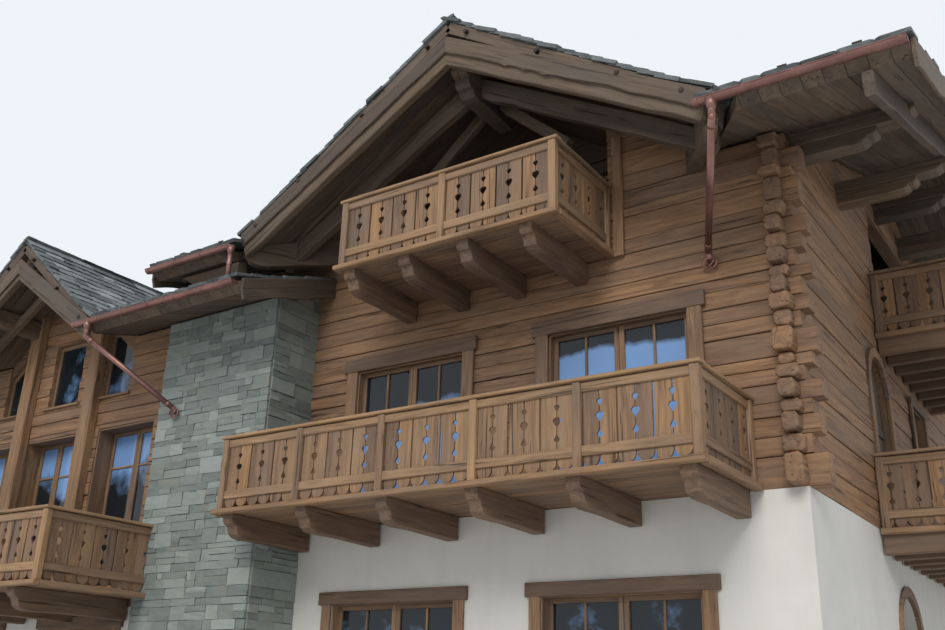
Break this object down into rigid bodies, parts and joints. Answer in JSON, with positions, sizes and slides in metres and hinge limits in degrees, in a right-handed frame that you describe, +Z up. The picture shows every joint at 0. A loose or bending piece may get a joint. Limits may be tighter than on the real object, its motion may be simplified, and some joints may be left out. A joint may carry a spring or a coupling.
{
  "type": "alpine chalet",
  "caption": "Log-built mountain house on a plastered ground storey, with a stone-clad bay, a lower wing, slate roofs and carved timber balconies.",
  "frame": {"origin": "on the ground, at the middle of the main block's footprint", "axes": "+X along the front wall towards the right gable wall, +Y from the front wall into the house, +Z up"},
  "size_m": [19.52, 17.48, 10.65],
  "materials": {
    "log_wood": "weathered hewn timber",
    "board_wood": "brushed aged boards",
    "dark_wood": "shaded old timber",
    "plaster": "smooth lime plaster",
    "stone": "split dry-laid stone",
    "slate": "split stone slates",
    "copper": "dull copper sheet",
    "glass": "clear panes",
    "concrete": "cast floor"
  },
  "bodies": {
    "root": {"ground_slab": "concrete", "first_floor_deck": "board_wood", "second_floor_deck": "board_wood", "wing_floor_deck": "board_wood", "front_plaster_wall": "plaster", "right_plaster_wall": "plaster", "rear_plaster_wall": "plaster", "left_plaster_wall": "plaster", "wing_front_plaster_wall": "plaster", "wing_left_plaster_wall": "plaster", "wing_rear_plaster_wall": "plaster", "stone_bay_wall": "stone", "front_log_wall": "log_wood", "right_log_wall": "log_wood", "rear_log_wall": "log_wood", "left_log_wall": "log_wood", "log_end_column": "log_wood", "loggia_walls": "dark_wood", "side_loggia_walls": "dark_wood", "wing_front_wall": "log_wood", "wing_rear_wall": "log_wood", "wing_left_wall": "log_wood", "wing_posts": "board_wood", "main_roof_front": "slate", "main_roof_rear": "slate", "gable_roof_left": "slate", "gable_roof_right": "slate", "wing_roof_front": "slate", "wing_roof_rear": "slate", "wing_gable_roof": "slate", "gable_verge_boards": "board_wood", "side_verge_boards": "board_wood", "wing_verge_boards": "board_wood", "gable_timbers": "dark_wood", "side_purlins": "dark_wood", "side_rafters": "dark_wood", "eave_rafters": "dark_wood", "lower_balcony_deck": "board_wood", "lower_balcony_brackets": "board_wood", "lower_balcony_railing": "board_wood", "upper_balcony_deck": "board_wood", "upper_balcony_brackets": "board_wood", "upper_balcony_railing": "board_wood", "side_balcony_decks": "board_wood", "side_balcony_railings": "board_wood", "wing_balcony_deck": "board_wood", "wing_balcony_railing": "board_wood", "ground_window_frames": "board_wood", "first_window_frames": "board_wood", "second_window_frames": "board_wood", "ground_glass": "glass", "first_glass": "glass", "second_glass": "glass", "arched_doors": "board_wood", "gutters": "copper", "downpipes": "copper"}
  },
  "joints": []
}
